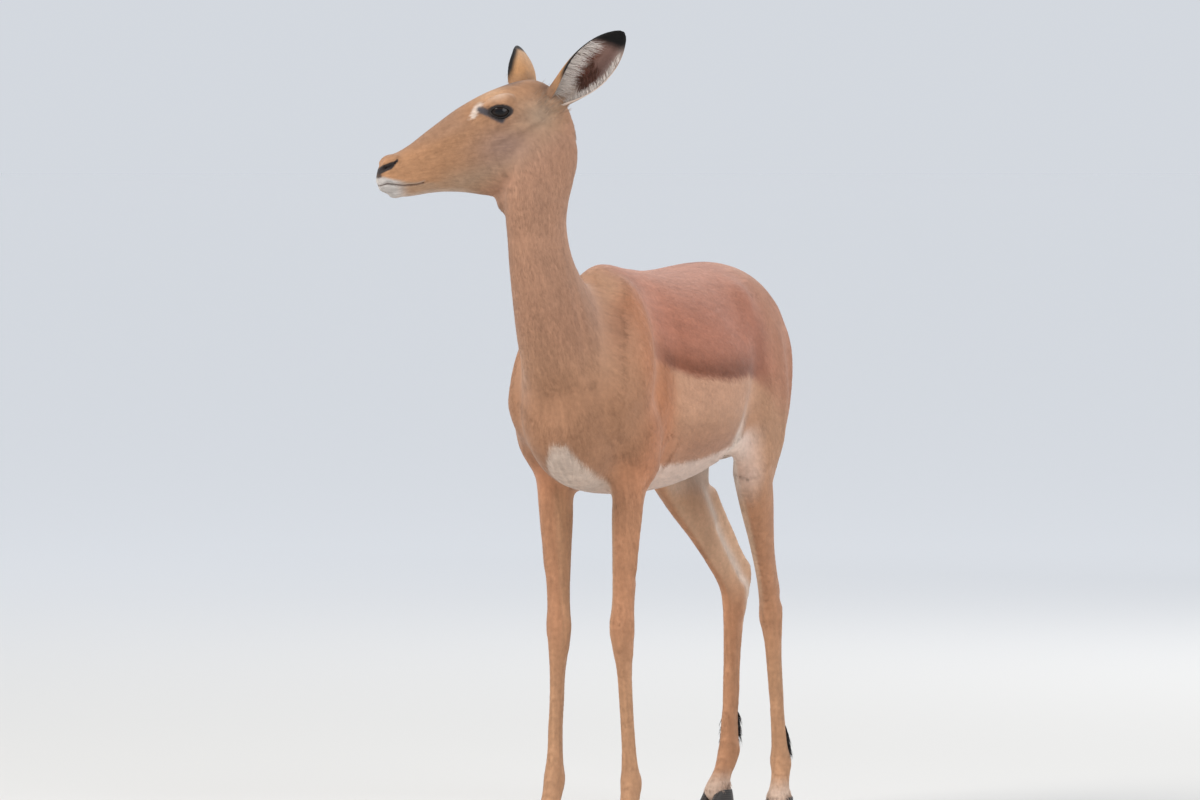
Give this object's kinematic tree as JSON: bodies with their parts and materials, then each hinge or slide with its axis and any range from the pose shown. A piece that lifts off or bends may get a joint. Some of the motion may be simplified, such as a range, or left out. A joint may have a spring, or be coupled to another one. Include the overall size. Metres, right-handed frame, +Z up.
{
  "type": "antelope figure",
  "caption": "Life-size female impala standing with its head raised and turned to its right, short tan coat, cupped ears, thin legs and cloven hooves.",
  "frame": {"origin": "on the floor under the middle of the animal's bounding box", "axes": "+Z up, the animal faces -Y, its own left is +X"},
  "size_m": [0.3374, 1.0312, 1.1973],
  "materials": {
    "hair_coat": "short, close, slightly glossy hair: red-brown saddle, tan flanks and legs, white belly",
    "ear_skin": "thin skin, haired outside, bare and dark inside with white hair at the rim",
    "eye": "wet, dark brown, clear and glossy",
    "hoof_horn": "smooth black horn, dull sheen"
  },
  "bodies": {
    "root": {"head": "hair_coat", "neck": "hair_coat", "trunk": "hair_coat", "tail": "hair_coat", "ear_left": "ear_skin", "eye_left": "eye", "foreleg_upper_left": "hair_coat", "foreleg_cannon_left": "hair_coat", "foreleg_pastern_left": "hair_coat", "hindleg_upper_left": "hair_coat", "hindleg_cannon_left": "hair_coat", "hindleg_pastern_left": "hair_coat", "claw_fore_inner_left": "hoof_horn", "claw_fore_outer_left": "hoof_horn", "claw_hind_inner_left": "hoof_horn", "claw_hind_outer_left": "hoof_horn", "ear_right": "ear_skin", "eye_right": "eye", "foreleg_upper_right": "hair_coat", "foreleg_cannon_right": "hair_coat", "foreleg_pastern_right": "hair_coat", "hindleg_upper_right": "hair_coat", "hindleg_cannon_right": "hair_coat", "hindleg_pastern_right": "hair_coat", "claw_fore_inner_right": "hoof_horn", "claw_fore_outer_right": "hoof_horn", "claw_hind_inner_right": "hoof_horn", "claw_hind_outer_right": "hoof_horn"}
  },
  "joints": []
}
